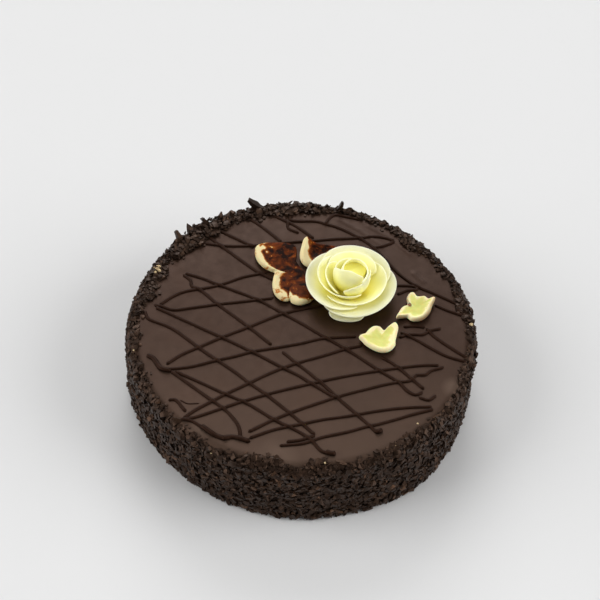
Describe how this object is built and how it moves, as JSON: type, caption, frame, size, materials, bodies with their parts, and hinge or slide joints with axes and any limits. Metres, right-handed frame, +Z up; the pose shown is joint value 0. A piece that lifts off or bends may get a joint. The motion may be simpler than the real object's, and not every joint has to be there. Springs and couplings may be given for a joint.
{
  "type": "birds milk cake",
  "caption": "Round chocolate-glazed cake with piped dark drizzle, chocolate flakes on its side, a pale yellow moulded rose and leaves on top.",
  "frame": {"origin": "centre of the cake's box at its flat base", "axes": "+Z up through the cake, -Y towards its front, +X to its right"},
  "size_m": [0.2203, 0.2208, 0.0762],
  "materials": {
    "dark_chocolate": "satin dark chocolate glaze with raised drizzle and flakes",
    "pale_icing": "smooth pale yellow moulded icing",
    "marbled_chocolate": "brown marbled chocolate with a cream edge",
    "white_chocolate": "satin cream white chocolate"
  },
  "bodies": {
    "root": {"cake": "dark_chocolate", "rose": "pale_icing", "leaf_left": "marbled_chocolate", "leaf_top": "marbled_chocolate", "leaf_back": "white_chocolate", "leaf_front": "white_chocolate"}
  },
  "joints": []
}
